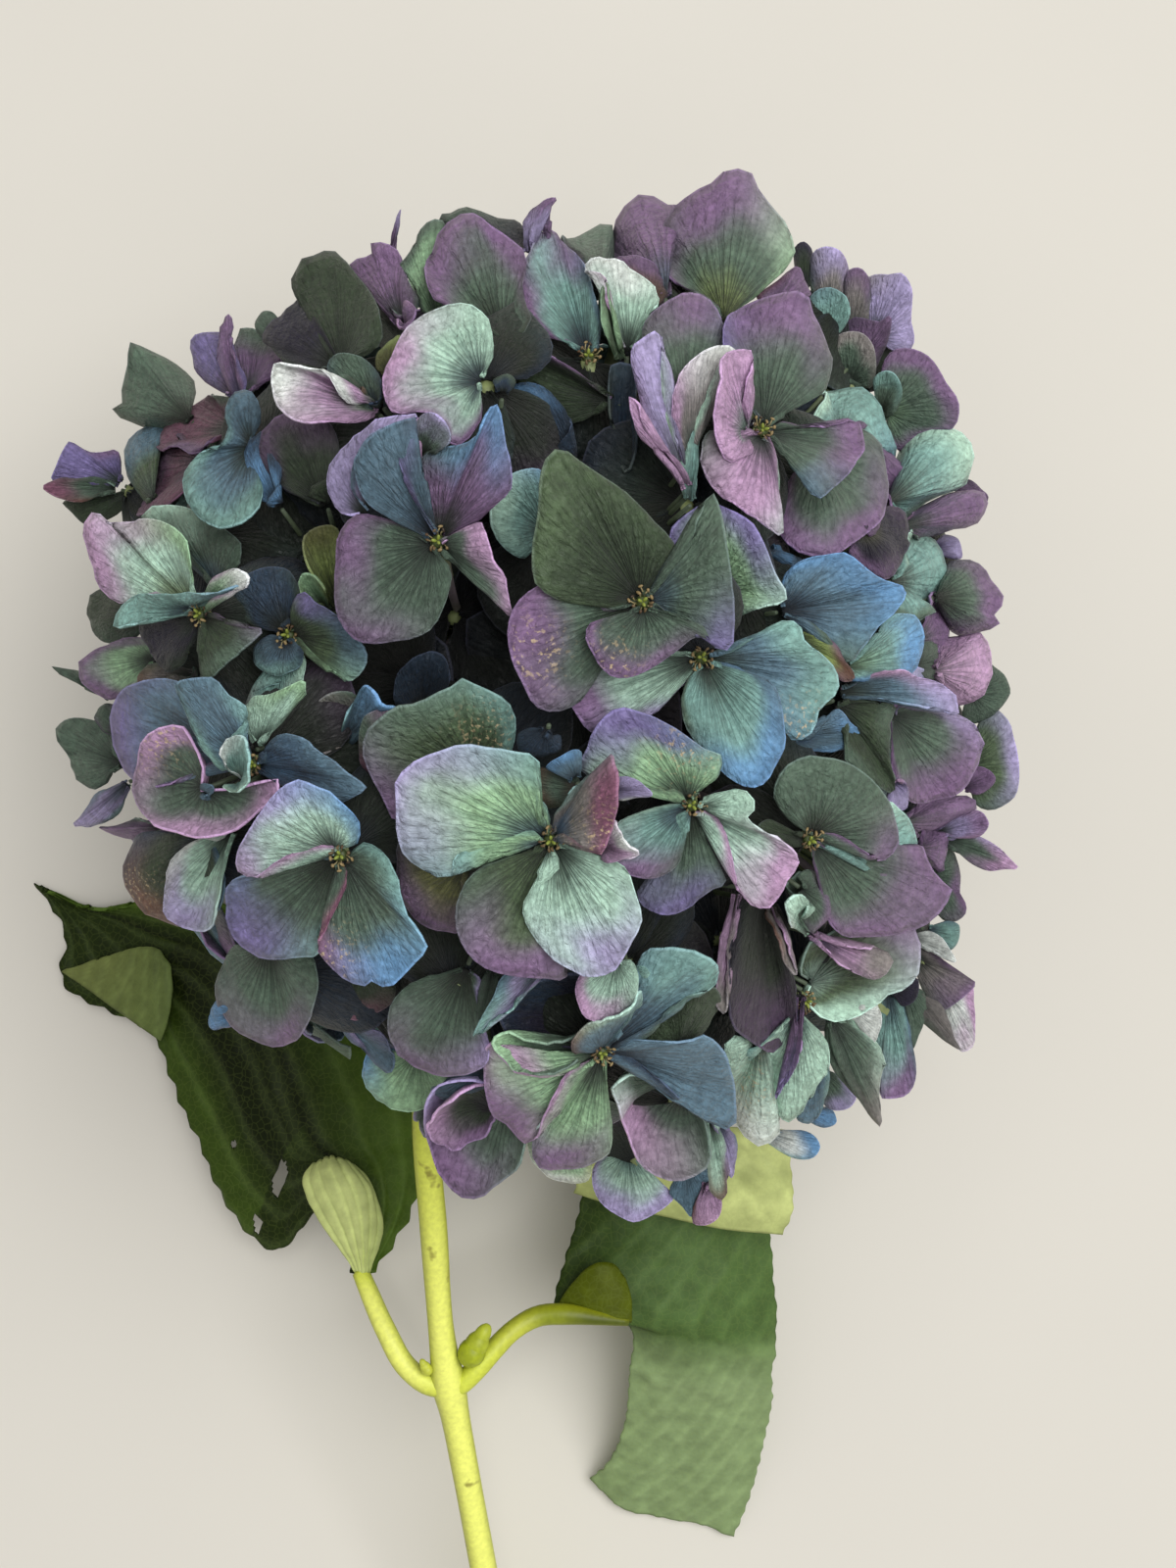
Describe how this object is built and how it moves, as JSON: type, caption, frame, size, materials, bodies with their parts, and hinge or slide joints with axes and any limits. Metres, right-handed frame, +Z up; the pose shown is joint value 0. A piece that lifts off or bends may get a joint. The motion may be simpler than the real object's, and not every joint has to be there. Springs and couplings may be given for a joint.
{
  "type": "hydrangea stem",
  "caption": "Cut mophead hydrangea lying down: a round head of broad-sepalled florets on forked stalks, a long bare stem and leaves at its node.",
  "frame": {"origin": "on the surface the flower lies on, below the middle of its bounding box", "axes": "+Z up from the surface, the stem lies along Y with the flower head towards +Y, the folded leaf on the +X side"},
  "size_m": [0.2235, 0.3889, 0.1743],
  "materials": {
    "stem": "smooth green bark, satin",
    "leaf": "veined leaf, satin",
    "bud": "green bud, satin",
    "sepal": "matte petal, mauve, slate blue, grey-green and mint"
  },
  "bodies": {
    "root": {"stem": "stem", "leaf_left": "leaf", "leaf_right": "leaf", "axil_bud_left": "bud", "axil_bud_right": "bud", "cyme_01": "sepal", "cyme_02": "sepal", "cyme_03": "sepal", "cyme_04": "sepal", "cyme_05": "sepal", "cyme_06": "sepal", "cyme_07": "sepal", "cyme_08": "sepal", "cyme_09": "sepal", "cyme_10": "sepal", "cyme_11": "sepal", "cyme_12": "sepal", "cyme_13": "sepal", "cyme_14": "sepal", "cyme_15": "sepal", "cyme_16": "sepal", "cyme_17": "sepal", "cyme_18": "sepal", "cyme_19": "sepal", "cyme_20": "sepal", "cyme_21": "sepal", "cyme_22": "sepal", "cyme_23": "sepal", "cyme_24": "sepal", "cyme_25": "sepal", "cyme_26": "sepal", "cyme_27": "sepal", "cyme_28": "sepal", "cyme_29": "sepal", "cyme_30": "sepal", "cyme_31": "sepal", "cyme_32": "sepal", "cyme_33": "sepal", "cyme_34": "sepal", "cyme_35": "sepal", "cyme_36": "sepal", "cyme_37": "sepal", "cyme_38": "sepal", "cyme_39": "sepal", "cyme_40": "sepal", "cyme_41": "sepal", "cyme_42": "sepal", "cyme_43": "sepal"}
  },
  "joints": []
}
